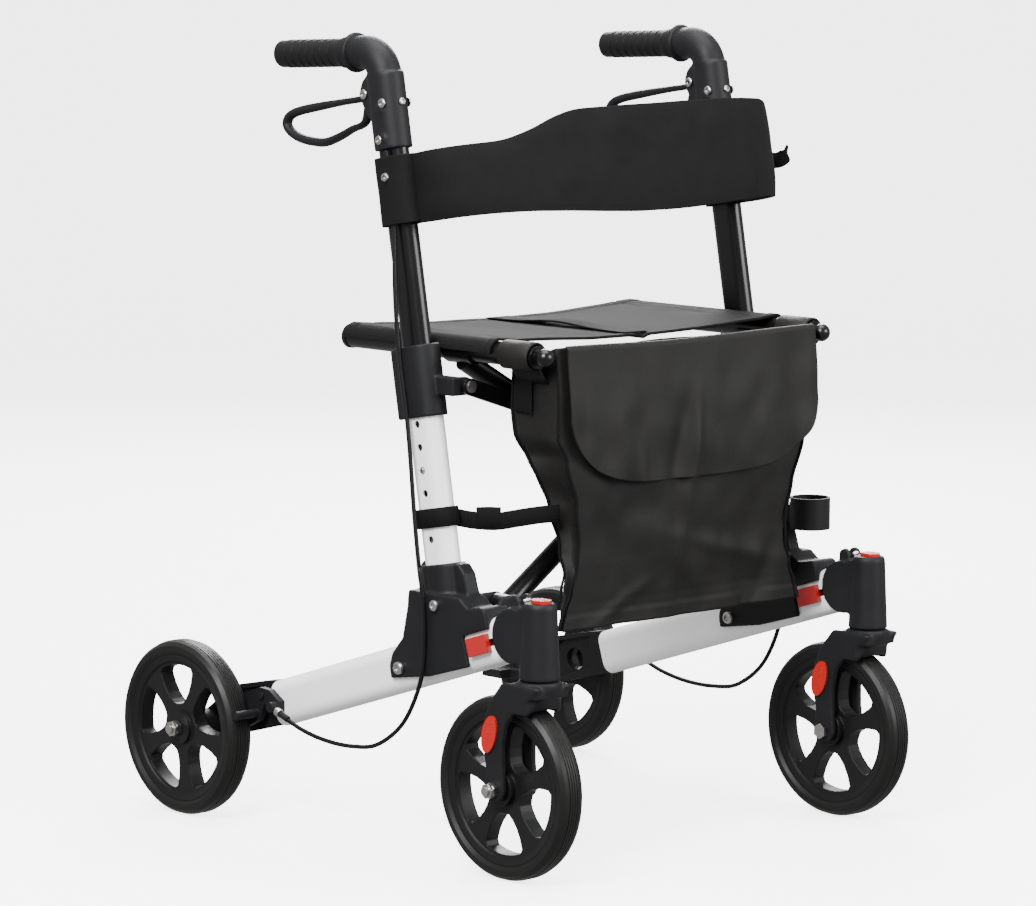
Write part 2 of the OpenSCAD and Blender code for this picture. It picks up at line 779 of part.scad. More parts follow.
both_sides(false) frame_bracket(bar_a_foot_y);  // frame_bracket_left
both_sides(true) frame_bracket(bar_b_foot_y);  // frame_bracket_right
both_sides(false) outer_upright();  // outer_upright_left
both_sides(true) outer_upright();  // outer_upright_right
both_sides(false) collar(link_left_y);  // collar_left
both_sides(true) collar(link_right_y);  // collar_right
both_sides(false) frame_pins(bar_a_foot_y, link_left_y);  // frame_pins_left
both_sides(true) frame_pins(bar_b_foot_y, link_right_y);  // frame_pins_right
both_sides(false) handle_tube();  // handle_tube_left
both_sides(true) handle_tube();  // handle_tube_right
both_sides(false) handle_housing();  // handle_housing_left
both_sides(true) handle_housing();  // handle_housing_right
both_sides(false) hand_grip();  // hand_grip_left
both_sides(true) hand_grip();  // hand_grip_right
both_sides(false) brake_lever();  // brake_lever_left
both_sides(true) brake_lever();  // brake_lever_right
both_sides(false) brake_arm();  // brake_arm_left
both_sides(true) brake_arm();  // brake_arm_right
both_sides(false) latch_button();  // latch_button_left
both_sides(true) latch_button();  // latch_button_right
both_sides(false) height_button();  // height_button_left
both_sides(true) height_button();  // height_button_right
both_sides(false) brake_cable();  // brake_cable_left
both_sides(true) brake_cable();  // brake_cable_right
cross_bar_a();
cross_bar_b();
both_sides(false) seat_rail();  // seat_rail_left
both_sides(true) seat_rail();  // seat_rail_right
both_sides(false) brace_link(link_left_y);  // brace_link_left
both_sides(true) brace_link(link_right_y);  // brace_link_right
seat_fabric();
bag_body();
bag_flap();
backrest_band();
cane_cup();
bag_tie_strap();
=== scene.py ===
"""Looks of the folding rollator walker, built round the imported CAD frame. Metres, front towards -Y."""

import json
import math

import bpy
from mathutils import Matrix, Vector, noise


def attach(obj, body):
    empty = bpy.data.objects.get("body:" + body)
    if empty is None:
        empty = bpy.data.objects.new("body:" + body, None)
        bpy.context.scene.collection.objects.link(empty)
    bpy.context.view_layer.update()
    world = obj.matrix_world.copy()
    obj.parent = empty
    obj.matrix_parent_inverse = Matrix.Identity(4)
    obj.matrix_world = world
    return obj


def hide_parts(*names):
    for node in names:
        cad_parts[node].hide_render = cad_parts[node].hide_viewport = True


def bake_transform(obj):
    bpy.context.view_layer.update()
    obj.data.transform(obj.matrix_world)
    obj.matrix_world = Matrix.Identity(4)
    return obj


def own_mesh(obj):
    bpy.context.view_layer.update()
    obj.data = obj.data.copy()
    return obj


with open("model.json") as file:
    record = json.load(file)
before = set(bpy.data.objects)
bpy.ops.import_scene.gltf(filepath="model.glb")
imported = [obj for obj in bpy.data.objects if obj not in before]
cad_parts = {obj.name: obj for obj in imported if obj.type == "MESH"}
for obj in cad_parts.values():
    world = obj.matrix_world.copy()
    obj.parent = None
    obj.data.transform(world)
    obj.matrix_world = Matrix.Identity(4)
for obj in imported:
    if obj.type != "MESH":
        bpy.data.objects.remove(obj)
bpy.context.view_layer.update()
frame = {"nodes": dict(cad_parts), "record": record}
NODES = frame["nodes"]
SIDES = {"left": -1, "right": 1}

# The same figures as the CAD source, in metres
TILT = math.radians(10.5)
FOOT = Vector((0, -0.142, 0.290))
UPRIGHT_X = 0.250
RAIL_X = 0.214
RAIL_Z = 0.557
RAIL_R = 0.0125
WHEEL_R = 0.100
CASTER_X = 0.256
REAR_AXLE_Y = 0.249
LEVER_PIVOT = (0.024, 0.552)
ELBOW_R = 0.030
ELBOW_S = 0.568
ELBOW_TURN = math.radians(82)


def on_upright(x, y, s):
    """A point in the upright's own frame: y backward from its middle, s up along it."""
    c, n = math.cos(TILT), math.sin(TILT)
    return Vector((x, FOOT.y + s * n + y * c, FOOT.z + s * c - y * n))


def smoothstep(a, b, t):
    t = min(max((t - a) / (b - a), 0), 1)
    return t * t * (3 - 2 * t)


def bell(x, middle, width):
    return math.exp(-(((x - middle) / width) ** 2))


def ramp(x, points):
    """Smooth value at x between (x, value) points in rising order."""
    if x <= points[0][0]:
        return points[0][1]
    for (x0, y0), (x1, y1) in zip(points, points[1:]):
        if x <= x1:
            return y0 + (y1 - y0) * smoothstep(x0, x1, x)
    return points[-1][1]


def curve(x, points, blur=0.012):
    """Value at x on a line through the points, with its corners rounded off."""
    total = 0
    for k in range(-4, 5):
        at = min(max(x + blur * k / 4, points[0][0]), points[-1][0])
        for (x0, y0), (x1, y1) in zip(points, points[1:]):
            if at <= x1:
                total += y0 + (y1 - y0) * (at - x0) / (x1 - x0)
                break
    return total / 9


# ---- materials ----


def shader(name, color, roughness, metallic=0.0, coat=0.0, shine=0.5):
    mat = bpy.data.materials.new(name)
    mat.use_nodes = True
    bsdf = mat.node_tree.nodes["Principled BSDF"]
    bsdf.inputs["Base Color"].default_value = (*color, 1)
    bsdf.inputs["Roughness"].default_value = roughness
    bsdf.inputs["Metallic"].default_value = metallic
    bsdf.inputs["Coat Weight"].default_value = coat
    bsdf.inputs["Specular IOR Level"].default_value = shine
    bsdf.inputs["Coat Roughness"].default_value = 0.12
    return mat, bsdf


def object_noise(tree, scale, detail=3.0, stretch=(1, 1, 1)):
    coords = tree.nodes.new("ShaderNodeTexCoord")
    mapping = tree.nodes.new("ShaderNodeMapping")
    mapping.inputs["Scale"].default_value = stretch
    tex = tree.nodes.new("ShaderNodeTexNoise")
    tex.inputs["Scale"].default_value = scale
    tex.inputs["Detail"].default_value = detail
    tree.links.new(coords.outputs["Object"], mapping.inputs["Vector"])
    tree.links.new(mapping.outputs["Vector"], tex.inputs["Vector"])
    return tex


def add_bump(mat, bsdf, layers, edge=0.0):
    """Stacks noise bumps (scale, strength, distance) on a softened edge normal."""
    tree = mat.node_tree
    normal = None
    if edge:
        bevel = tree.nodes.new("ShaderNodeBevel")
        bevel.inputs["Radius"].default_value = edge
        bevel.samples = 4
        normal = bevel.outputs["Normal"]
    for scale, strength, distance in layers:
        tex = object_noise(tree, scale)
        bump = tree.nodes.new("ShaderNodeBump")
        bump.inputs["Strength"].default_value = strength
        bump.inputs["Distance"].default_value = distance
        tree.links.new(tex.outputs["Fac"], bump.inputs["Height"])
        if normal:
            tree.links.new(normal, bump.inputs["Normal"])
        normal = bump.outputs["Normal"]
    if normal:
        tree.links.new(normal, bsdf.inputs["Normal"])


def vary(mat, bsdf, socket, low, high, scale, stretch=(1, 1, 1)):
    """Drives a roughness or colour socket between two values with a soft noise."""
    tree = mat.node_tree
    tex = object_noise(tree, scale, 4.0, stretch)
    if socket == "Base Color":
        mix = tree.nodes.new("ShaderNodeMix")
        mix.data_type = "RGBA"
        mix.inputs[6].default_value = (*low, 1)
        mix.inputs[7].default_value = (*high, 1)
        tree.links.new(tex.outputs["Fac"], mix.inputs[0])
        tree.links.new(mix.outputs[2], bsdf.inputs[socket])
    else:
        span = tree.nodes.new("ShaderNodeMapRange")
        span.inputs["To Min"].default_value = low
        span.inputs["To Max"].default_value = high
        tree.links.new(tex.outputs["Fac"], span.inputs["Value"])
        tree.links.new(span.outputs["Result"], bsdf.inputs[socket])


def make_materials():
    made = {}

    mat, b = shader("white_enamel", (0.94, 0.94, 0.94), 0.32, coat=0.25)
    vary(mat, b, "Roughness", 0.27, 0.38, 35)
    add_bump(mat, b, [(700, 0.03, 0.0004)], edge=0.0006)
    made["white_tube"] = mat

    mat, b = shader("black_enamel", (0.003, 0.003, 0.003), 0.24, shine=0.30)
    vary(mat, b, "Roughness", 0.20, 0.30, 30)
    add_bump(mat, b, [(500, 0.02, 0.0003)], edge=0.0006)
    made["black_tube"] = mat

    mat, b = shader("grained_moulding", (0.007, 0.007, 0.008), 0.5, shine=0.17)
    vary(mat, b, "Roughness", 0.44, 0.6, 60)
    vary(mat, b, "Base Color", (0.005, 0.005, 0.006), (0.010, 0.010, 0.011), 25)
    add_bump(mat, b, [(1400, 0.20, 0.0004), (300, 0.08, 0.0006)], edge=0.0012)
    made["black_moulding"] = mat

    mat, b = shader("rim_moulding", (0.006, 0.006, 0.0065), 0.42, shine=0.20)
    vary(mat, b, "Roughness", 0.34, 0.5, 50)
    add_bump(mat, b, [(900, 0.12, 0.0003)], edge=0.0022)
    made["wheel_plastic"] = mat

    mat, b = shader("tyre", (0.006, 0.006, 0.006), 0.42, shine=0.22)
    vary(mat, b, "Roughness", 0.34, 0.52, 40)
    vary(mat, b, "Base Color", (0.004, 0.004, 0.004), (0.009, 0.0085, 0.008), 18)
    add_bump(mat, b, [(600, 0.15, 0.0004)], edge=0.0012)
    made["tyre_rubber"] = mat

    mat, b = shader("grip", (0.006, 0.006, 0.006), 0.5, shine=0.16)
    vary(mat, b, "Roughness", 0.45, 0.65, 60)
    add_bump(mat, b, [(800, 0.3, 0.0005)], edge=0.001)
    made["grip_rubber"] = mat

    mat, b = shader("cable", (0.004, 0.004, 0.004), 0.38, shine=0.18)
    vary(mat, b, "Roughness", 0.32, 0.45, 80)
    made["cable_sheath"] = mat

    mat, b = shader("zinc", (0.42, 0.41, 0.39), 0.30, metallic=1.0)
    vary(mat, b, "Roughness", 0.2, 0.4, 120)
    add_bump(mat, b, [(900, 0.06, 0.0002)], edge=0.0005)
    made["zinc"] = mat

    mat, b = shader("red_moulding", (0.36, 0.002, 0.0015), 0.35, coat=0.2)
    vary(mat, b, "Roughness", 0.3, 0.42, 80)
    add_bump(mat, b, [(700, 0.05, 0.0003)], edge=0.0012)
    made["red_plastic"] = mat

    mat, b = shader("reflector", (0.4, 0.004, 0.002), 0.25, coat=0.2, shine=0.3)
    vary(mat, b, "Base Color", (0.30, 0.002, 0.001), (0.50, 0.008, 0.003), 260)
    tree = mat.node_tree
    cells = tree.nodes.new("ShaderNodeTexVoronoi")
    coords = tree.nodes.new("ShaderNodeTexCoord")
    cells.inputs["Scale"].default_value = 420
    bump = tree.nodes.new("ShaderNodeBump")
    bump.inputs["Strength"].default_value = 0.6
    bump.inputs["Distance"].default_value = 0.0008
    tree.links.new(coords.outputs["Object"], cells.inputs["Vector"])
    tree.links.new(cells.outputs["Distance"], bump.inputs["Height"])
    tree.links.new(bump.outputs["Normal"], b.inputs["Normal"])
    made["red_reflector"] = mat

    mat, b = shader("nylon", (0.0055, 0.0052, 0.0055), 0.8, shine=0.10)
    vary(mat, b, "Base Color", (0.0042, 0.0040, 0.0042), (0.0075, 0.0072, 0.0072), 22)
    weave(mat, b, 0.0011, 0.35)
    made["black_cloth"] = mat

    mat, b = shader("thin_nylon", (0.0085, 0.0080, 0.0078), 0.52, shine=0.15)
    vary(mat, b, "Base Color", (0.0065, 0.0062, 0.0060), (0.0115, 0.0108, 0.0104), 16)
    vary(mat, b, "Roughness", 0.46, 0.62, 20)
    weave(mat, b, 0.0009, 0.25)
    made["bag_cloth"] = mat

    mat, b = shader("webbing", (0.004, 0.004, 0.004), 0.8, shine=0.10)
    weave(mat, b, 0.0018, 0.6)
    made["webbing"] = mat
    return made


def weave(mat, bsdf, pitch, strength):
    """Fine crossed threads plus a little creasing, all in object space."""
    tree = mat.node_tree
    coords = tree.nodes.new("ShaderNodeTexCoord")
    heights = []
    for direction in ("X", "Z"):
        wave = tree.nodes.new("ShaderNodeTexWave")
        wave.bands_direction = direction
        wave.inputs["Scale"].default_value = 0.314 / pitch
        wave.inputs["Distortion"].default_value = 0.4
        tree.links.new(coords.outputs["Object"], wave.inputs["Vector"])
        heights.append(wave.outputs["Fac"])
    add = tree.nodes.new("ShaderNodeMath")
    add.operation = "ADD"
    tree.links.new(heights[0], add.inputs[0])
    tree.links.new(heights[1], add.inputs[1])
    bump = tree.nodes.new("ShaderNodeBump")
    bump.inputs["Strength"].default_value = strength
    bump.inputs["Distance"].default_value = 0.0003
    tree.links.new(add.outputs["Value"], bump.inputs["Height"])
    fine = object_noise(tree, 160, 4.0)
    crease = tree.nodes.new("ShaderNodeBump")
    crease.inputs["Strength"].default_value = 0.12
    crease.inputs["Distance"].default_value = 0.001
    tree.links.new(fine.outputs["Fac"], crease.inputs["Height"])
    tree.links.new(crease.outputs["Normal"], bump.inputs["Normal"])
    tree.links.new(bump.outputs["Normal"], bsdf.inputs["Normal"])


MATS = make_materials()


def smooth_by_angle(obj, degrees=35):
    """Smooth faces with sharp edges kept where the shape turns by more than the angle."""
    mesh = obj.data
    mesh.polygons.foreach_set("use_smooth", [True] * len(mesh.polygons))
    limit = math.radians(degrees)
    faces_at = {}
    for poly in mesh.polygons:
        for key in poly.edge_keys:
            faces_at.setdefault(key, []).append(poly.index)
    for edge in mesh.edges:
        around = faces_at.get(tuple(sorted(edge.vertices)), [])
        if len(around) == 2:
            a, b = (mesh.polygons[i].normal for i in around)
            edge.use_edge_sharp = a.angle(b, 0) > limit
        else:
            edge.use_edge_sharp = True


def paint(obj, mat):
    obj.data.materials.clear()
    obj.data.materials.append(mat)


def dress_frame():
    for part in frame["record"]["subparts"]:
        node = NODES[part["node"]]
        paint(node, MATS[part["material_slot"]])


dress_frame()


def soften(name, voxel, passes):
    """Rounds a moulding's edges, as they come out of a mould."""
    node = NODES[name]
    remesh = node.modifiers.new("even_mesh", "REMESH")
    remesh.mode = "VOXEL"
    remesh.voxel_size = voxel
    remesh.use_smooth_shade = True
    relax = node.modifiers.new("rounded_edges", "SMOOTH")
    relax.factor = 0.5
    relax.iterations = passes


for side_name in SIDES:
    soften(f"fork_{side_name}", 0.0014, 14)
    soften(f"caster_housing_{side_name}", 0.0014, 7)
    soften(f"handle_housing_{side_name}", 0.0014, 8)
    soften(f"frame_bracket_{side_name}", 0.0015, 6)
    soften(f"collar_{side_name}", 0.0013, 4)


# ---- making pieces ----


def new_mesh(name, verts, faces, mat, smooth=True):
    mesh = bpy.data.meshes.new(name)
    mesh.from_pydata([tuple(v) for v in verts], [], faces)
    mesh.validate()
    mesh.update()
    obj = bpy.data.objects.new(name, mesh)
    bpy.context.scene.collection.objects.link(obj)
    mesh.polygons.foreach_set("use_smooth", [smooth] * len(mesh.polygons))
    paint(obj, mat)
    return obj


def sheet_mesh(name, point, nu, nv, thick, mat, lift=None):
    """Closed sheet of cloth over point(u, v), u and v from 0 to 1. lift(u, v) raises its front face."""
    grid = [[point(i / nu, j / nv) for i in range(nu + 1)] for j in range(nv + 1)]
    verts, back = [], []
    for j in range(nv + 1):
        for i in range(nu + 1):
            du = grid[j][min(i + 1, nu)] - grid[j][max(i - 1, 0)]
            dv = grid[min(j + 1, nv)][i] - grid[max(j - 1, 0)][i]
            n = du.cross(dv)
            n = n.normalized() if n.length > 1e-12 else Vector((0, 0, 1))
            up = lift(i / nu, j / nv) if lift else 0
            verts.append(grid[j][i] + n * (thick / 2 + up))
            back.append(grid[j][i] - n * (thick / 2))
    count = len(verts)
    faces = []
    row = nu + 1
    for j in range(nv):
        for i in range(nu):
            a = j * row + i
            faces.append((a, a + 1, a + row + 1, a + row))
            faces.append((count + a, count + a + row, count + a + row + 1, count + a + 1))
    rim = list(range(nu)) + [j * row + nu for j in range(nv)]
    rim += [nv * row + i for i in range(nu, 0, -1)] + [j * row for j in range(nv, 0, -1)]
    for a, b in zip(rim, rim[1:] + rim[:1]):
        faces.append((b, a, count + a, count + b))
    return new_mesh(name, verts + back, faces, mat)


def frames_along(points):
    """Tangent, side and normal at each point of a path, turning as little as it can."""
    tangents = []
    for i in range(len(points)):
        t = points[min(i + 1, len(points) - 1)] - points[max(i - 1, 0)]
        tangents.append(t.normalized())
    side = tangents[0].orthogonal().normalized()
    out = []
    for t in tangents:
        side = (side - t * side.dot(t)).normalized()
        out.append((t, side, t.cross(side)))
    return out


def catmull(points, steps):
    pts = [Vector(p) for p in points]
    out = []
    for i in range(len(pts) - 1):
        p0, p1 = pts[max(i - 1, 0)], pts[i]
        p2, p3 = pts[i + 1], pts[min(i + 2, len(pts) - 1)]
        for k in range(steps):
            t = k / steps
            out.append(
                0.5
                * (
                    2 * p1
                    + (p2 - p0) * t
                    + (2 * p0 - 5 * p1 + 4 * p2 - p3) * t * t
                    + (3 * p1 - p0 - 3 * p2 + p3) * t**3
                )
            )
    out.append(pts[-1])
    return out


def sweep(name, path, section, mat, side=None):
    """Closed solid of a section [(a, b), ...] swept along a path; side fixes where a points."""
    n = len(section)
    verts = []
    for p, (t, s, m) in zip(path, frames_along(path)):
        if side is not None:
            s = (Vector(side) - t * Vector(side).dot(t)).normalized()
            m = t.cross(s)
        verts += [p + s * a + m * b for a, b in section]
    faces = []
    for i in range(len(path) - 1):
        for k in range(n):
            a, b = i * n + k, i * n + (k + 1) % n
            faces.append((a, b, b + n, a + n))
    faces.append(tuple(range(n - 1, -1, -1)))
    faces.append(tuple((len(path) - 1) * n + k for k in range(n)))
    return new_mesh(name, verts, faces, mat)


def ring(radius, sides=16):
    return [
        (radius * math.cos(2 * math.pi * k / sides), radius * math.sin(2 * math.pi * k / sides))
        for k in range(sides)
    ]


def strap_section(width, thick):
    w, t = width / 2, thick / 2
    r = t * 0.6
    return [
        (-w, -t + r), (-w + r, -t), (w - r, -t), (w, -t + r),
        (w, t - r), (w - r, t), (-w + r, t), (-w, t - r),
    ]


def lathe(name, profile, at, axis, mat, sides=32):
    """Solid of revolution: profile is [(radius, height), ...] along axis from at."""
    axis = Vector(axis).normalized()
    side = axis.orthogonal().normalized()
    other = axis.cross(side)
    verts, faces = [], []
    for r, h in profile:
        for k in range(sides):
            a = 2 * math.pi * k / sides
            verts.append(Vector(at) + axis * h + (side * math.cos(a) + other * math.sin(a)) * r)
    for i in range(len(profile) - 1):
        for k in range(sides):
            a, b = i * sides + k, i * sides + (k + 1) % sides
            faces.append((a, b, b + sides, a + sides))
    faces.append(tuple(range(sides - 1, -1, -1)))
    faces.append(tuple((len(profile) - 1) * sides + k for k in range(sides)))
    obj = new_mesh(name, verts, faces, mat)
    smooth_by_angle(obj, 40)
    return obj


def screw_head(name, at, axis, radius, body, height=0.0022):
    """Domed machine-screw head with a hex recess."""
    r, h = radius, height
    profile = [
        (r, -0.0004), (r, h * 0.45), (r * 0.85, h * 0.85), (r * 0.55, h),
        (r * 0.5, h * 0.98), (r * 0.45, h * 0.3), (r * 0.01, h * 0.3),
    ]
    obj = lathe(name, profile, at, axis, MATS["zinc"], 24)
    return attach(obj, body)


def hex_nut(name, at, axis, radius, body, height=0.005):
    r, h = radius, height
    profile = [(r * 0.9, 0), (r, h * 0.12), (r, h * 0.88), (r * 0.86, h)]
    obj = lathe(name, profile, at, axis, MATS["zinc"], 6)
    obj.data.polygons.foreach_set("use_smooth", [False] * len(obj.data.polygons))
    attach(obj, body)
    dome = [(r * 0.62, h), (r * 0.6, h * 1.5), (r * 0.3, h * 1.75), (r * 0.02, h * 1.8)]
    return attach(lathe(name + "_end", dome, at, axis, MATS["zinc"], 24), body)


def wrinkle(p, scale, seed):
    return noise.noise(Vector((p.x * scale + seed, p.y * scale, p.z * scale)))


# ---- seat ----

SEAT_FRONT, SEAT_BACK = -0.184, 0.052
SEAT_CLEAR = 0.0018
SEAT_SAG = 0.0085


def seat_point(u, v):
    """u runs round one rail, across and round the other; v runs from front to back."""
    y = SEAT_FRONT + (SEAT_BACK - SEAT_FRONT) * v
    r = RAIL_R + SEAT_CLEAR
    wrap = 0.16
    if u < wrap or u > 1 - wrap:
        k = u / wrap if u < wrap else (1 - u) / wrap
        g = -1 if u < wrap else 1
        turn = math.radians(180 - 90 * k)
        return Vector((g * RAIL_X - g * r * math.cos(turn), y, RAIL_Z + r * math.sin(turn)))
    t = (u - wrap) / (1 - 2 * wrap)
    x = RAIL_X * (2 * t - 1)
    edge = 1 - bell(v, 0.5, 0.9) * 0.3
    sag = SEAT_SAG * (1 - (2 * t - 1) ** 2) * (0.9 + 0.1 * edge)
    crease = 0.0030 * bell(x, 0.002, 0.006)
    z = RAIL_Z + r - sag - crease
    z += 0.0012 * wrinkle(Vector((x, y * 0.6, 0)), 14, 3) * bell(x, 0, 0.16)
    z += 0.0009 * math.sin(y * 60 + x * 20) * bell(abs(x), 0.19, 0.02)
    return Vector((x, y, z))


def seat_lift(u, v):
    """Hems at the front and back, and the sewn tunnels beside the rails."""
    y = (SEAT_BACK - SEAT_FRONT) * v
    depth = SEAT_BACK - SEAT_FRONT
    hem = 0.0009 * (1 - smoothstep(0.011, 0.013, y)) + 0.0009 * smoothstep(depth - 0.013, depth - 0.011, y)
    stitch = -0.0006 * (bell(y, 0.014, 0.0012) + bell(y, depth - 0.014, 0.0012))
    x = abs(2 * u - 1)
    tunnel = -0.0008 * bell(x, 0.60, 0.006)
    return hem + stitch + tunnel


seat = sheet_mesh("seat_cloth", seat_point, 220, 90, 0.0022, MATS["black_cloth"], lift=seat_lift)
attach(seat, "sling")
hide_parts("seat_fabric")


def seat_strap_point(u, v):
    """Pull strap sewn over the crease, running from front to back and standing a little proud."""
    x = -0.004 + 0.034 * (u - 0.5)
    y = SEAT_FRONT + 0.006 + (SEAT_BACK - SEAT_FRONT - 0.012) * v
    rise = 0.0026 + 0.006 * bell(v, 0.5, 0.22) * (1 - (2 * u - 1) ** 2 * 0.25)
    z = RAIL_Z + RAIL_R + SEAT_CLEAR - SEAT_SAG + rise
    return Vector((x, y, z))


strap = sheet_mesh("seat_pull_strap", seat_strap_point, 12, 60, 0.0018, MATS["webbing"])
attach(strap, "sling")

for piece in (seat, strap):
    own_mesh(piece)


# ---- bag ----

BAG_TOP, BAG_BACK_TOP, BAG_FOOT = 0.5660, 0.5455, 0.258
BAG_HALF = [
    (0.258, 0.184), (0.275, 0.180), (0.300, 0.170), (0.326, 0.162), (0.352, 0.160),
    (0.392, 0.167), (0.443, 0.183), (0.471, 0.197), (0.532, 0.196), (0.566, 0.196),
]
BAG_FRONT = [(0.258, -0.246), (0.34, -0.251), (0.42, -0.256), (0.50, -0.2565), (0.566, -0.252)]
BAG_BACK = [
    (0.258, -0.240), (0.313, -0.236), (0.341, -0.224), (0.385, -0.214),
    (0.420, -0.206), (0.458, -0.192), (0.500, -0.186), (0.566, -0.188),
]
BAG_CORNERS = (0, 50, 80, 180, 210, 260)


def bag_outline(z, step):
    """Point of the bag's section at height z; step runs once round it from the back's middle."""
    half = ramp(z, BAG_HALF)
    front, back = ramp(z, BAG_FRONT), ramp(z, BAG_BACK)
    corners = [(0, back), (-half, back), (-half, front), (half, front), (half, back), (0, back)]
    for (n0, n1), (x0, y0), (x1, y1) in zip(zip(BAG_CORNERS, BAG_CORNERS[1:]), corners, corners[1:]):
        if step <= n1:
            break
    k = (step - n0) / (n1 - n0)
    return Vector((x0 + (x1 - x0) * k, y0 + (y1 - y0) * k, z)), (x0, y0, x1, y1, k)


def bag_point(t, v):
    step = t * BAG_CORNERS[-1]
    mouth = bag_outline(BAG_TOP, step)[0]
    back_share = (mouth.y - ramp(BAG_TOP, BAG_FRONT)) / (ramp(BAG_TOP, BAG_BACK) - ramp(BAG_TOP, BAG_FRONT))
    top = BAG_TOP + (BAG_BACK_TOP - BAG_TOP) * back_share
    z = top + (BAG_FOOT - top) * v
    p, (x0, y0, x1, y1, k) = bag_outline(z, step)
    if y0 == y1 and x0 < 0 < x1:
        across = 1 - (2 * k - 1) ** 4
        p.y -= 0.006 * across * math.sin(math.pi * min(v * 1.1, 1)) ** 0.7
        p.y += 0.0075 * wrinkle(Vector((p.x * 1.2, 0, p.z * 0.55)), 13, 7) * across
        p.y += 0.0030 * wrinkle(Vector((p.x, 0, p.z * 0.8)), 34, 31) * across
        p.y -= 0.0040 * bell(p.x, -0.010 + 0.10 * (p.z - 0.36), 0.011) * across * smoothstep(0.28, 0.36, p.z)
        p.y += 0.0032 * bell(p.x - 0.5 * (p.z - 0.30), 0.13, 0.014) * bell(p.z, 0.30, 0.05)
        p.y -= 0.0030 * bell(p.z + 0.25 * p.x, 0.345, 0.010) * bell(p.x, 0.06, 0.08)
        p.y -= 0.0028 * bell(p.z - 0.5 * p.x, 0.330, 0.008) * bell(p.x, -0.10, 0.05)
    elif x0 == x1:
        inward = 1 if p.x < 0 else -1
        fold = 1 - (2 * k - 1) ** 2
        p.x += inward * 0.010 * fold * smoothstep(0.0, 0.5, v) * (1 + 0.5 * wrinkle(p, 11, 2))
        p.x += 0.0025 * wrinkle(p, 28, 5) * fold
    p.x += 0.006 * (1 - smoothstep(0.262, 0.330, z))
    return p


def bag_lift(t, v):
    """Hem round the foot, with its stitch line above."""
    above_foot = (BAG_TOP - BAG_FOOT) * (1 - v)
    hem = 0.0010 * (1 - smoothstep(0.014, 0.016, above_foot))
    return hem - 0.0007 * bell(above_foot, 0.018, 0.0012)


def bag_shell():
    """Open-topped shell with a real floor; its sheet runs once round the section."""
    nu, nv = 260, 110
    thick = 0.0012
    verts, faces = [], []
    for layer in (0, 1):
        for j in range(nv + 1):
            for i in range(nu):
                p = bag_point(i / nu, j / nv)
                mid_y = (ramp(p.z, BAG_FRONT) + ramp(p.z, BAG_BACK)) / 2
                centre = Vector((p.x * 0.985, mid_y, p.z))
                inward = centre - p
                inward = inward.normalized() if inward.length > 1e-6 else Vector((0, 1, 0))
                offset = thick if layer else -bag_lift(i / nu, j / nv)
                verts.append(p + inward * offset)
    size = nu * (nv + 1)
    for layer in (0, 1):
        for j in range(nv):
            for i in range(nu):
                a = layer * size + j * nu + i
                b = layer * size + j * nu + (i + 1) % nu
                quad = (a, b, b + nu, a + nu)
                faces.append(quad[::-1] if layer else quad)
    for i in range(nu):
        k = (i + 1) % nu
        faces.append((k, i, size + i, size + k))
    last = nv * nu
    floor_low = list(range(last, last + nu))
    faces.append(tuple(floor_low))
    faces.append(tuple(size + i for i in reversed(floor_low)))
    return new_mesh("bag_shell", verts, faces, MATS["bag_cloth"])


bag = bag_shell()
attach(bag, "sling")
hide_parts("bag_body")


LOOP_Y = -0.218


def rail_loop(side):
    """Cloth loop by which the bag hangs on a rail."""
    path = []
    for k in range(25):
        a = math.radians(-70 + 320 * k / 24)
        r = RAIL_R + 0.0022
        path.append(Vector((side * (RAIL_X + r * math.cos(a)), LOOP_Y, RAIL_Z + r * math.sin(a))))
    inner = Vector((side * 0.196, LOOP_Y, RAIL_Z - 0.030))
    path = path + [path[-1].lerp(inner, 0.5), inner]
    return sweep(f"bag_rail_loop_{'left' if side < 0 else 'right'}", path, strap_section(0.046, 0.0024),
                 MATS["bag_cloth"], side=(0, 1, 0))


def piping(name, path, radius=0.0016):
    return sweep(name, path, ring(radius, 8), MATS["webbing"])


bag_pieces = [rail_loop(-1), rail_loop(1)]
for side in (-1, 1):
    edge = []
    for j in range(61):
        z = BAG_TOP - 0.004 + (BAG_FOOT - BAG_TOP + 0.006) * j / 60
        edge.append(Vector((side * (ramp(z, BAG_HALF) + 0.0004), ramp(z, BAG_FRONT) - 0.0008, z)))
    bag_pieces.append(piping(f"bag_front_piping_{'left' if side < 0 else 'right'}", edge))
    edge = []
    for j in range(61):
        z = BAG_BACK_TOP - 0.003 + (BAG_FOOT - BAG_BACK_TOP + 0.005) * j / 60
        edge.append(Vector((side * (ramp(z, BAG_HALF) + 0.0004), ramp(z, BAG_BACK) + 0.0008, z)))
    bag_pieces.append(piping(f"bag_back_piping_{'left' if side < 0 else 'right'}", edge))


def patch_point(u, v):
    """Plain sewn patch high on the left side panel."""
    return Vector((-0.1985, -0.192 - 0.026 * u, 0.540 - 0.046 * v))


def patch_lift(u, v):
    border = max(bell(u, 0.1, 0.05), bell(u, 0.9, 0.05), bell(v, 0.07, 0.03), bell(v, 0.93, 0.03))
    return -0.0005 * border


bag_pieces.append(sheet_mesh("bag_side_patch", patch_point, 24, 40, 0.0010, MATS["webbing"], lift=patch_lift))

FLAP_TOP_Z = 0.5680
FLAP_HALF = 0.191
FLAP_MIDDLE = 0.004
FLAP_ROLL = 0.0045
FLAP_FACE_Y = -0.2615
FLAP_SIDE_FOOT = 0.508
FLAP_FOOT = 0.414


def flap_edge_z(x):
    share = min(abs(x) / (FLAP_HALF + 0.002), 1)
    return FLAP_SIDE_FOOT - (FLAP_SIDE_FOOT - FLAP_FOOT) * (1 - share**4) ** 0.4545


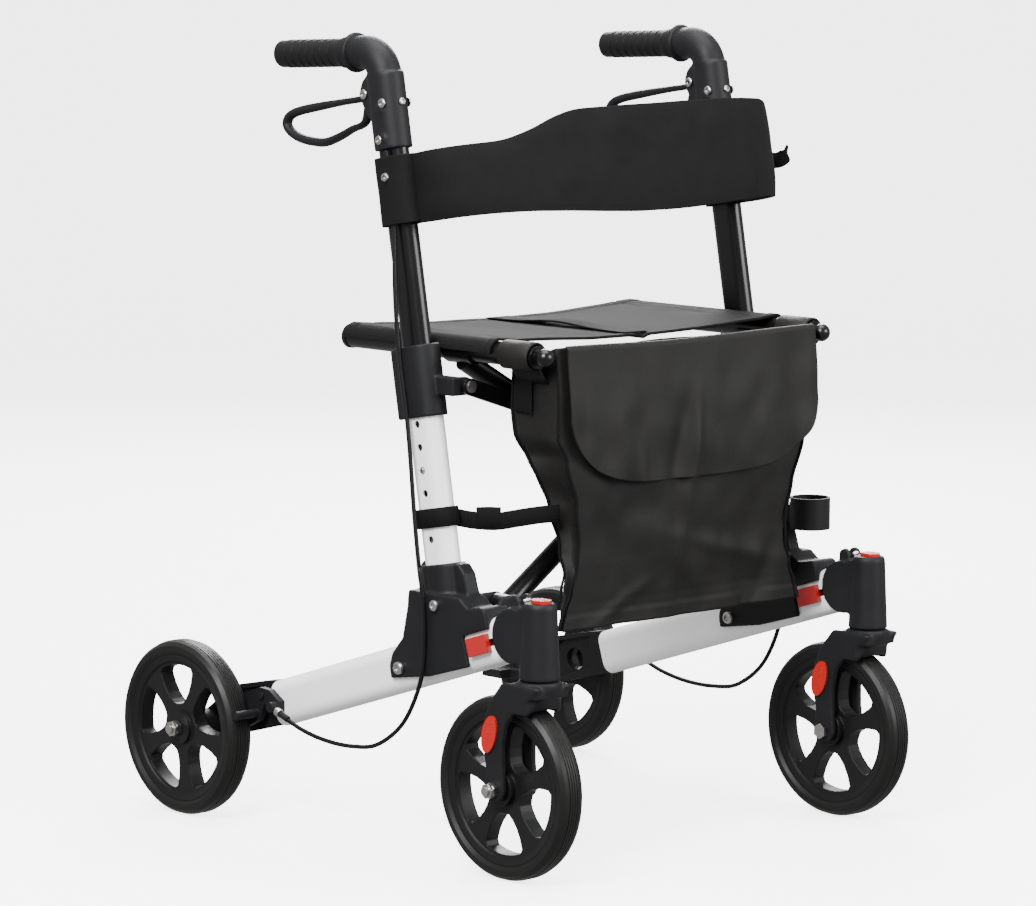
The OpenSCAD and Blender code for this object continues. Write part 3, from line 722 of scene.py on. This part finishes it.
def flap_length(x):
    return FLAP_ROLL * math.pi / 2 + FLAP_TOP_Z - FLAP_ROLL - flap_edge_z(x)


def flap_point(u, v):
    """The flap rolls over the mouth's front edge and hangs down the bag's face."""
    x = FLAP_HALF * (2 * u - 1)
    s = v * flap_length(x)
    y, z = FLAP_FACE_Y, FLAP_TOP_Z - FLAP_ROLL - (s - FLAP_ROLL * math.pi / 2)
    if s < FLAP_ROLL * math.pi / 2:
        a = s / FLAP_ROLL
        y = FLAP_FACE_Y + FLAP_ROLL - FLAP_ROLL * math.sin(a)
        z = FLAP_TOP_Z - FLAP_ROLL + FLAP_ROLL * math.cos(a)
    down = max(0.0, (FLAP_TOP_Z - z) / (FLAP_TOP_Z - FLAP_FOOT))
    p = Vector((x + FLAP_MIDDLE, y, z - 0.0035 * bell(x, -0.02, 0.12) * (1 - down)))
    p.y -= 0.0065 * smoothstep(0.0, 1.0, down) + 0.0025 * math.sin(math.pi * min(down, 1))
    p.y += 0.0060 * wrinkle(Vector((x * 1.3, 0, z * 0.45)), 12, 21) * down
    p.y += 0.0030 * wrinkle(Vector((x, 0, z * 0.7)), 30, 12) * min(down * 2, 1)
    p.y -= 0.0050 * bell(x, -0.004 + 0.12 * (z - 0.46), 0.008) * smoothstep(0.15, 0.8, down)
    p.y += 0.0036 * bell(x, -0.026 + 0.2 * (z - 0.46), 0.012) * smoothstep(0.3, 0.9, down)
    p.y -= 0.0034 * bell(x, -0.085, 0.009) * smoothstep(0.55, 1.0, down)
    p.y += 0.0040 * bell(x, 0.150, 0.022) * bell(down, 0.55, 0.3)
    p.y -= 0.0044 * bell(x, 0.178, 0.012) * down
    return p


def flap_lift(u, v):
    """Bound edge and its stitch line, a set distance in from the tongue's edge."""
    x = FLAP_HALF * (2 * u - 1)
    from_edge = min((1 - v) * flap_length(x), FLAP_HALF * (1 - abs(2 * u - 1)) + 0.002)
    return 0.0014 * (1 - smoothstep(0.009, 0.0105, from_edge)) - 0.0010 * bell(from_edge, 0.0122, 0.0011)


flap = sheet_mesh("flap_cloth", flap_point, 240, 130, 0.0016, MATS["bag_cloth"], lift=flap_lift)
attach(flap, "flap")
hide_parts("bag_flap")
for piece in bag_pieces:
    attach(piece, "cross_a" if piece.name == "bag_rail_loop_right" else "sling")
# The two rail loops come first in the list and keep their shape in the fold
for piece in [bag, flap] + bag_pieces[2:]:
    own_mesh(piece)


# ---- backrest ----

BAND_HALF = 0.249
BAND_FOOT = 0.406
SLEEVE_TOP = 0.480
BAND_TOP = [
    (-0.249, 0.479), (-0.200, 0.479), (-0.165, 0.489), (-0.137, 0.501), (-0.108, 0.508),
    (0.0, 0.510), (0.128, 0.513), (0.205, 0.513), (0.232, 0.505), (0.249, 0.488),
]


def band_plan():
    """Middle line of the band from above, (x, forward offset) at even steps along it."""
    raw = []
    for k in range(721):
        t = math.pi * k / 720
        c, n = math.cos(t), math.sin(t)
        raw.append(Vector((-BAND_HALF * math.copysign(abs(c) ** 0.625, c), -0.018 - 0.121 * n**0.625)))
    run = [0.0]
    for a, b in zip(raw, raw[1:]):
        run.append(run[-1] + (b - a).length)
    return raw, run


BAND_RAW, BAND_RUN = band_plan()


def band_middle(u):
    want = u * BAND_RUN[-1]
    low, high = 0, len(BAND_RUN) - 1
    while high - low > 1:
        mid = (low + high) // 2
        if BAND_RUN[mid] <= want:
            low = mid
        else:
            high = mid
    k = (want - BAND_RUN[low]) / (BAND_RUN[high] - BAND_RUN[low])
    return BAND_RAW[low].lerp(BAND_RAW[high], k)


def band_span(x):
    foot = BAND_FOOT - 0.013 * bell(x, 0, 0.17)
    return foot, curve(x, BAND_TOP)


def band_point(u, v):
    m = band_middle(u)
    foot, top = band_span(m.x)
    s = foot + (top - foot) * (1 - v)
    ends = smoothstep(0, 0.06, u) * smoothstep(0, 0.06, 1 - u)
    crown = 0.0030 * (1 - (2 * v - 1) ** 4) + 0.0022 * wrinkle(Vector((m.x * 1.4, 0, s)), 12, 11)
    crown += 0.0008 * wrinkle(Vector((m.x, 0, s)), 40, 4)
    centre = Vector((0, -0.04))
    out = (m - centre).normalized()
    m = m + out * crown * ends
    return on_upright(m.x, m.y, s)


def band_lift(u, v):
    m = band_middle(u)
    foot, top = band_span(m.x)
    edge = min(v, 1 - v) * (top - foot)
    along = min(u, 1 - u) * BAND_RUN[-1]
    bound = 0.0013 * (1 - smoothstep(0.010, 0.0115, edge))
    seam = bell(edge, 0.0130, 0.0010) + 1.2 * bell(along, 0.043, 0.0013)
    return bound - 0.0009 * seam


backrest = sheet_mesh("backrest_cloth", band_point, 320, 90, 0.0060, MATS["black_cloth"], lift=band_lift)


def sleeve_point(side):
    def point(u, v):
        a = 2 * math.pi * u * (-side)
        half_d, half_w = 0.0265, 0.0190
        y = -0.0045 - half_d * math.copysign(abs(math.cos(a)) ** 0.8, math.cos(a))
        x = half_w * math.copysign(abs(math.sin(a)) ** 0.7, math.sin(a))
        s = BAND_FOOT + (SLEEVE_TOP - BAND_FOOT) * (1 - v)
        x += side * 0.0006 * wrinkle(Vector((y, 0, s)), 40, 9)
        return on_upright(side * UPRIGHT_X + x, y, s)

    return point


def sleeve_lift(u, v):
    edge = min(v, 1 - v) * (SLEEVE_TOP - BAND_FOOT)
    return 0.0010 * (1 - smoothstep(0.0095, 0.011, edge)) - 0.0007 * bell(edge, 0.0125, 0.0010)


def sleeve(side):
    name = f"backrest_sleeve_{'left' if side < 0 else 'right'}"
    return sheet_mesh(name, sleeve_point(side), 72, 40, 0.0016, MATS["black_cloth"], lift=sleeve_lift)


def strap_tail():
    """Loose webbing tail folded at the right-hand sleeve."""
    route = [(0.262, -0.085, 0.742), (0.269, -0.100, 0.742), (0.275, -0.112, 0.741), (0.281, -0.122, 0.742),
             (0.287, -0.126, 0.748), (0.289, -0.122, 0.753)]
    return sweep("backrest_strap_tail", catmull(route, 6), strap_section(0.018, 0.0018), MATS["webbing"],
                 side=(0, 0, 1))


band_pieces = [backrest, sleeve(-1), sleeve(1), strap_tail()]
for piece, body in zip(band_pieces, ("handle_left", "handle_left", "handle_right", "handle_right")):
    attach(piece, body)
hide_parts("backrest_band")
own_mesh(backrest)


# ---- tie strap round the left upright ----


def tie_strap():
    pieces = []
    loop = []
    for k in range(33):
        a = 2 * math.pi * k / 32
        y = 0.0248 * math.copysign(abs(math.cos(a)) ** 0.75, math.cos(a))
        x = 0.0168 * math.copysign(abs(math.sin(a)) ** 0.75, math.sin(a))
        loop.append(on_upright(-UPRIGHT_X + x, y, 0.088))
    pieces.append(sweep("tie_strap_loop", loop, strap_section(0.021, 0.0020), MATS["webbing"],
                        side=(0, math.sin(TILT), math.cos(TILT))))
    run = [(-0.236, -0.142, 0.377), (-0.228, -0.160, 0.375), (-0.216, -0.182, 0.375), (-0.203, -0.204, 0.380),
           (-0.188, -0.222, 0.384), (-0.170, -0.232, 0.385)]
    pieces.append(sweep("tie_strap_run", catmull(run, 8), strap_section(0.019, 0.0022), MATS["webbing"],
                        side=(0, 0, 1)))
    knot = [(-0.226, -0.163, 0.378), (-0.220, -0.174, 0.379), (-0.213, -0.185, 0.379)]
    pieces.append(sweep("tie_strap_fold", catmull(knot, 6), strap_section(0.023, 0.0055), MATS["webbing"],
                        side=(0, 0, 1)))
    return pieces


ties = tie_strap()
for piece in ties:
    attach(piece, "left_frame")
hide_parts("bag_tie_strap")


# ---- brake cables ----

CABLE = [
    (-265, -57, 769.4), (-264.6, -61, 750), (-264.6, -67, 720), (-266, -72, 685), (-271, -79, 620),
    (-272, -86, 561), (-272, -99, 489), (-274, -108, 440), (-277, -118, 380), (-279, -128, 325),
    (-279, -135, 289), (-279, -137, 245), (-280, -132, 201), (-281, -106, 153), (-282, -65, 123),
    (-283, -24, 115), (-283, 20, 115), (-283, 64, 122), (-283, 104, 136),
]
UPPER_STRETCH = 9
CABLE_STEPS = 8
SHEATH_R = 0.0025


def cable(side):
    """The sheath in two stretches, split just above the frame bracket."""
    label = "left" if side < 0 else "right"
    route = [Vector((p[0] * -side, p[1], p[2])) / 1000 for p in CABLE]
    path = catmull(route, CABLE_STEPS)
    cut = UPPER_STRETCH * CABLE_STEPS
    section = ring(SHEATH_R, 12)
    upper = sweep(f"cable_upper_{label}", path[: cut + 1], section, MATS["cable_sheath"])
    lower = sweep(f"cable_lower_{label}", path[cut:], section, MATS["cable_sheath"])
    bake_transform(upper)
    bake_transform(lower)
    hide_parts(f"brake_cable_{label}")
    end = route[-1]
    back = (route[-1] - route[-2]).normalized()
    profile = [(0.0036, -0.020), (0.0036, -0.006), (0.0028, -0.004), (0.0028, 0.004)]
    ferrule = lathe(f"cable_ferrule_{label}", profile, end, back, MATS["black_moulding"],
                    16)
    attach(ferrule, f"lower_{label}")
    profile = [(0.0048, -0.006), (0.0052, -0.0045), (0.0052, 0.0), (0.003, 0.001), (0.003, 0.006)]
    screw = lathe(f"cable_adjuster_{label}", profile, end, back, MATS["zinc"], 16)
    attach(screw, f"lower_{label}")


for side in (-1, 1):
    cable(side)


# ---- levers and grip flanges ----

LEVER_LOOP = [
    (24, 553), (38, 549), (70, 550), (110, 551), (146, 551), (164, 548), (171, 540), (165, 530), (150, 521),
    (128, 514), (108, 511), (84, 514), (62, 519), (46, 521), (38, 526), (33, 537), (26, 549),
]
BAR_SIDES = 16


def lever(label, g):
    """Loop lever with a rounded bar, thicker at its far end."""
    path = catmull([on_upright(g * UPRIGHT_X, y / 1000, z / 1000) for y, z in LEVER_LOOP], 6)
    bar = sweep(f"lever_loop_{label}", path, ring(1.0, BAR_SIDES), MATS["black_moulding"],
                side=(1, 0, 0))
    for i, centre in enumerate(path):
        far = smoothstep(0.030, 0.110, (centre - path[0]).length)
        for k in range(BAR_SIDES):
            vert = bar.data.vertices[i * BAR_SIDES + k]
            off = vert.co - centre
            across = Vector((off.x, 0, 0))
            vert.co = centre + across * 0.0062 + (off - across) * (0.0036 + 0.0014 * far)
    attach(bar, f"lever_{label}")
    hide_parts(f"brake_lever_{label}")
    profile = [(0.0078, -0.006), (0.0082, -0.005), (0.0082, 0.005), (0.0078, 0.006)]
    barrel = lathe(f"lever_barrel_{label}", profile, on_upright(g * UPRIGHT_X, *LEVER_PIVOT), (1, 0, 0),
                   MATS["black_moulding"])
    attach(barrel, f"lever_{label}")


def grip_flange(label, g):
    """Flange and rubber swell at the grip's inner end, where the elbow straightens."""
    c, n = math.cos(ELBOW_TURN), math.sin(ELBOW_TURN)
    past_elbow = 0.016
    middle = (ELBOW_R - ELBOW_R * c + past_elbow * n, ELBOW_S + ELBOW_R * n + past_elbow * c)
    at = on_upright(g * UPRIGHT_X, *middle)
    out = on_upright(g * UPRIGHT_X, middle[0] + n, middle[1] + c) - at
    profile = [
        (0.0186, -0.0035), (0.0208, -0.0028), (0.0218, -0.001),
        (0.0218, 0.0014), (0.0206, 0.0029), (0.0184, 0.0032),
    ]
    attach(lathe(f"grip_flange_{label}", profile, at, out, MATS["black_moulding"], 48),
            f"handle_{label}")
    swell = [
        (0.0152, 0.0078), (0.0172, 0.0084), (0.0176, 0.0120),
        (0.0170, 0.0170), (0.0156, 0.0215), (0.0151, 0.0225),
    ]
    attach(lathe(f"grip_swell_{label}", swell, at, out, MATS["grip_rubber"], 48),
            f"handle_{label}")


for label, g in SIDES.items():
    lever(label, g)
    grip_flange(label, g)


# ---- small hardware that shows ----


def hardware(label, g):
    """Screws, wheel nuts and the snap button of one side."""
    out = Vector((g, 0, 0))
    for side in (g, -g):
        way = "outer" if side == g else "inner"
        for index, (y, s, radius) in enumerate([(-0.010, 0.5375, 0.0052), (0.002, 0.499, 0.0050)]):
            at = on_upright(g * UPRIGHT_X + side * 0.0182, y, s)
            screw_head(f"housing_screw_{way}_{index}_{label}", at, (side, 0, 0), radius, f"handle_{label}")
        at = on_upright(g * UPRIGHT_X + side * 0.0128, *LEVER_PIVOT)
        screw_head(f"lever_screw_{way}_{label}", at, (side, 0, 0), 0.0055, f"handle_{label}")
    at = on_upright(g * UPRIGHT_X + g * 0.0196, -0.004, 0.458)
    screw_head(f"sleeve_screw_{label}", at, out, 0.0050, f"handle_{label}", 0.004)
    at = on_upright(g * UPRIGHT_X, -0.0222, 0.537)
    forward = (0, -math.cos(TILT), math.sin(TILT))
    screw_head(f"housing_front_screw_{label}", at, forward, 0.0042, f"handle_{label}")
    profile = [(0.0034, -0.002), (0.0034, 0.002), (0.0026, 0.0035), (0.0004, 0.0040)]
    button = lathe(f"snap_button_cap_{label}", profile, on_upright(g * UPRIGHT_X + g * 0.0122, 0, 0.140), out,
                   MATS["zinc"], 20)
    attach(button, f"button_{label}")
    screw_head(f"bracket_screw_{label}", (g * 0.2779, -0.150, 0.286), out, 0.0060, f"{label}_frame")
    for side in (g, -g):
        way = "outer" if side == g else "inner"
        at = Vector((g * CASTER_X + side * 0.0225, -0.094, 0.2107))
        screw_head(f"tilt_pin_head_{way}_{label}", at, (side, 0, 0), 0.0068, f"{label}_frame", 0.003)
    hex_nut(f"rear_wheel_nut_{label}", (g * 0.3145, REAR_AXLE_Y, WHEEL_R), out, 0.0092, f"rear_wheel_{label}")
    hex_nut(f"front_wheel_nut_{label}", (g * (CASTER_X + 0.0305), -REAR_AXLE_Y, WHEEL_R), out, 0.0088,
            f"caster_{label}")
    for k, y in enumerate((-0.276, -0.270)):
        at = (g * CASTER_X + (k - 0.5) * 0.008, y, 0.3040)
        screw_head(f"head_screw_{k}_{label}", at, (0, 0, 1), 0.0034, f"lower_{label}")


for label, g in SIDES.items():
    hardware(label, g)


# ---- stage, light and camera ----

FLOOR_WHITE = 0.86


def backdrop():
    """Pale floor that curves up into a wall far behind."""
    verts, faces = [], []
    angles = [math.radians(6 * k) for k in range(16)]
    bend = [(5.0 + 3 * math.sin(a), 3 - 3 * math.cos(a)) for a in angles]
    profile = [(-9.0, 0.0), *bend, (8.0, 8.0)]
    turn = Matrix.Rotation(math.radians(-43.2), 4, "Z")
    for y, z in profile:
        for x in (-12.0, 12.0):
            verts.append(turn @ Vector((x, y, z)))
    for i in range(len(profile) - 1):
        faces.append((2 * i, 2 * i + 1, 2 * i + 3, 2 * i + 2))
    mesh = bpy.data.meshes.new("backdrop")
    mesh.from_pydata(verts, [], faces)
    obj = bpy.data.objects.new("backdrop", mesh)
    bpy.context.scene.collection.objects.link(obj)
    mesh.polygons.foreach_set("use_smooth", [True] * len(mesh.polygons))
    mat, b = shader("paper", (FLOOR_WHITE,) * 3, 0.8, shine=0.0)
    b.inputs["Emission Color"].default_value = (1, 1, 1, 1)
    b.inputs["Emission Strength"].default_value = 3.4
    paint(obj, mat)
    obj.visible_diffuse = False
    obj.visible_glossy = False


backdrop()


def softbox(name, at, target, size, watts):
    light = bpy.data.lights.new(name, "AREA")
    light.shape = "RECTANGLE"
    light.size, light.size_y = size
    light.energy = watts
    obj = bpy.data.objects.new(name, light)
    obj.location = at
    obj.rotation_euler = (Vector(target) - Vector(at)).to_track_quat("-Z", "Y").to_euler()
    bpy.context.scene.collection.objects.link(obj)


softbox("key", (-2.6, -1.2, 2.6), (0, 0, 0.4), (1.6, 1.6), 260)
softbox("fill", (1.2, -3.2, 1.7), (0, 0, 0.5), (2.2, 1.6), 150)
softbox("rim", (2.2, 2.2, 2.2), (0, 0, 0.5), (1.6, 1.6), 170)
softbox("top", (0.0, 0.0, 3.4), (0, 0, 0), (2.6, 2.6), 190)

world = bpy.data.worlds.new("studio")
world.use_nodes = True
world.node_tree.nodes["Background"].inputs["Color"].default_value = (1, 1, 1, 1)
world.node_tree.nodes["Background"].inputs["Strength"].default_value = 0.6
bpy.context.scene.world = world

CAMERA_AT = Vector((-3.4874, -3.6978, 1.0594))
CAMERA_AZIMUTH = math.radians(-43.21)
CAMERA_ELEVATION = math.radians(7.24)
CAMERA_ROLL = math.radians(0.34)


def place_camera():
    back = Vector(
        (
            math.sin(CAMERA_AZIMUTH) * math.cos(CAMERA_ELEVATION),
            -math.cos(CAMERA_AZIMUTH) * math.cos(CAMERA_ELEVATION),
            math.sin(CAMERA_ELEVATION),
        )
    )
    right = Vector((math.cos(CAMERA_AZIMUTH), math.sin(CAMERA_AZIMUTH), 0))
    up = back.cross(right)
    c, s = math.cos(CAMERA_ROLL), math.sin(CAMERA_ROLL)
    right, up = right * c + up * s, up * c - right * s
    data = bpy.data.cameras.new("camera")
    data.lens = 156.8
    data.sensor_width = 36
    data.clip_end = 60
    obj = bpy.data.objects.new("camera", data)
    basis = Matrix((right, up, back)).transposed().to_4x4()
    obj.matrix_world = Matrix.Translation(CAMERA_AT) @ basis
    bpy.context.scene.collection.objects.link(obj)
    bpy.context.scene.camera = obj


place_camera()
